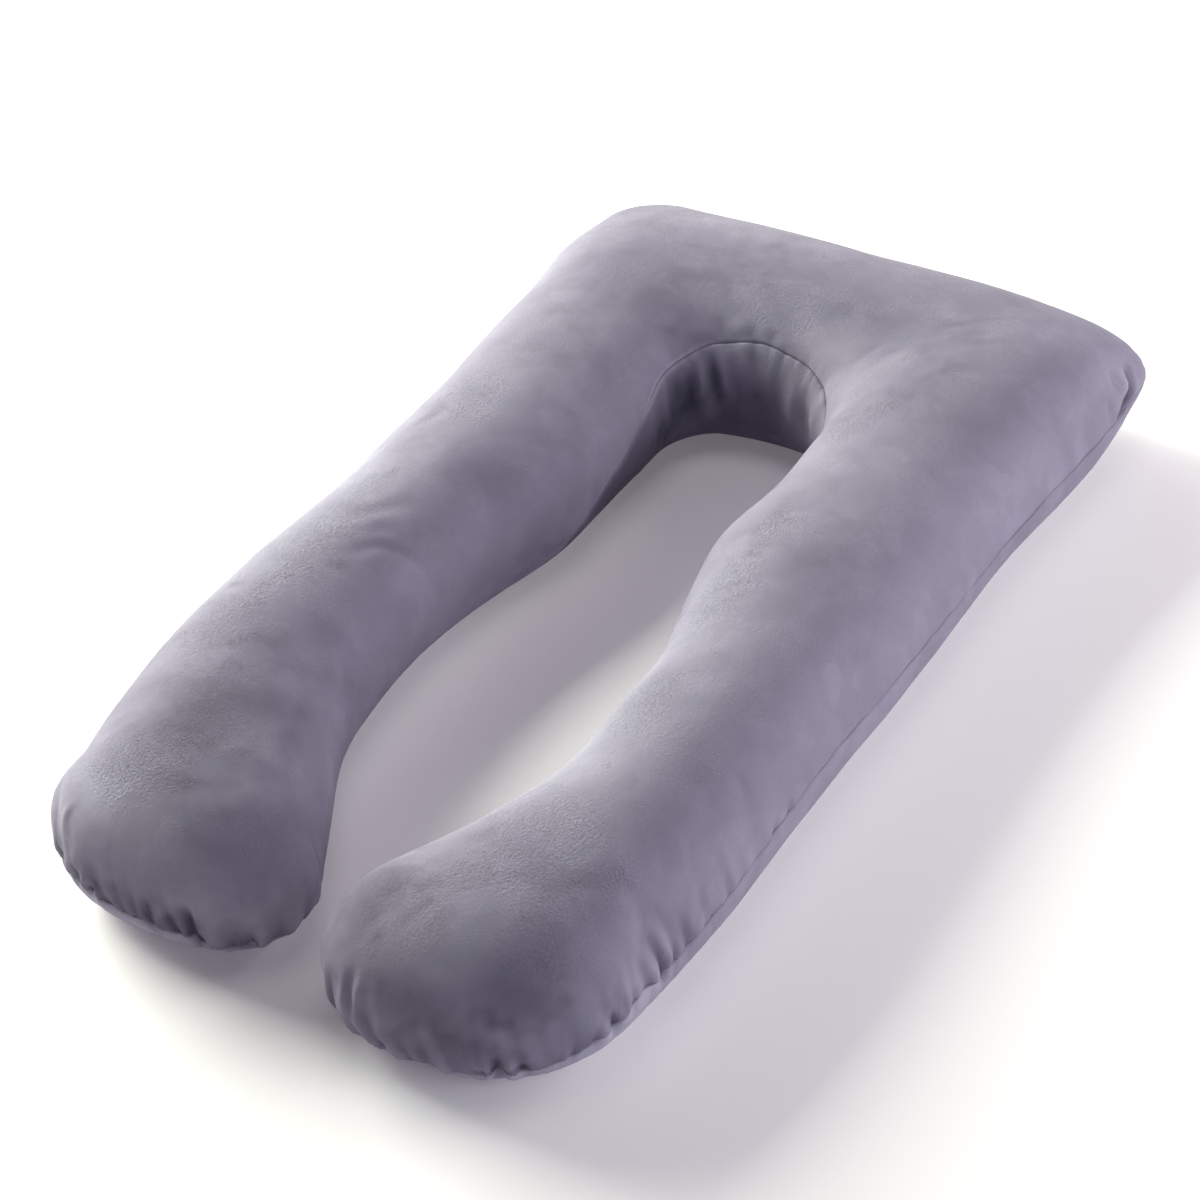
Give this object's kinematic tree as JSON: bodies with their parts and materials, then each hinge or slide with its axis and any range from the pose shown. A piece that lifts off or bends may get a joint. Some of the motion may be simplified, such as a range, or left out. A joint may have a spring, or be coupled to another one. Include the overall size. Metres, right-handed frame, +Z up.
{
  "type": "u-shaped pregnancy pillow",
  "caption": "U-shaped filled body pillow in short plush, with a closed bridge, two long arms that end in rounded gathered feet turned inwards, and a sewn perimeter seam.",
  "frame": {"origin": "middle of the footprint, on the surface that the pillow lies on", "axes": "+Y from the feet to the closed bend, +X towards the right arm seen from above, +Z up"},
  "size_m": [0.7148, 1.297, 0.187],
  "materials": {
    "plush": "short-pile plush, soft nap with a light sheen"
  },
  "bodies": {
    "root": {"pillow": "plush"}
  },
  "joints": []
}
